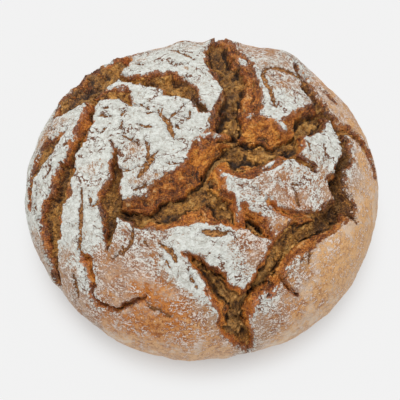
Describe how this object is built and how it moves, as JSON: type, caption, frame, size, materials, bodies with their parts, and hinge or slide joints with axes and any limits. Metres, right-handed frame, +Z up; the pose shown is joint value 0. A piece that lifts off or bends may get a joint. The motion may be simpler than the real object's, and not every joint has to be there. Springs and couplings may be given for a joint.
{
  "type": "rye bread loaf",
  "caption": "Round domed hearth loaf with a flat sole, a floured crust split into plates by deep fissures, and torn crumb showing in them.",
  "frame": {"origin": "middle of the loaf's bounding box in plan, on the plane of the sole, so the loaf stands on z = 0", "axes": "+Z up through the crown, -Y the front of the loaf as it is usually shown, +X to the right"},
  "size_m": [0.2406, 0.2378, 0.0896],
  "materials": {
    "crust": "matte"
  },
  "bodies": {
    "root": {"loaf": "crust"}
  },
  "joints": []
}
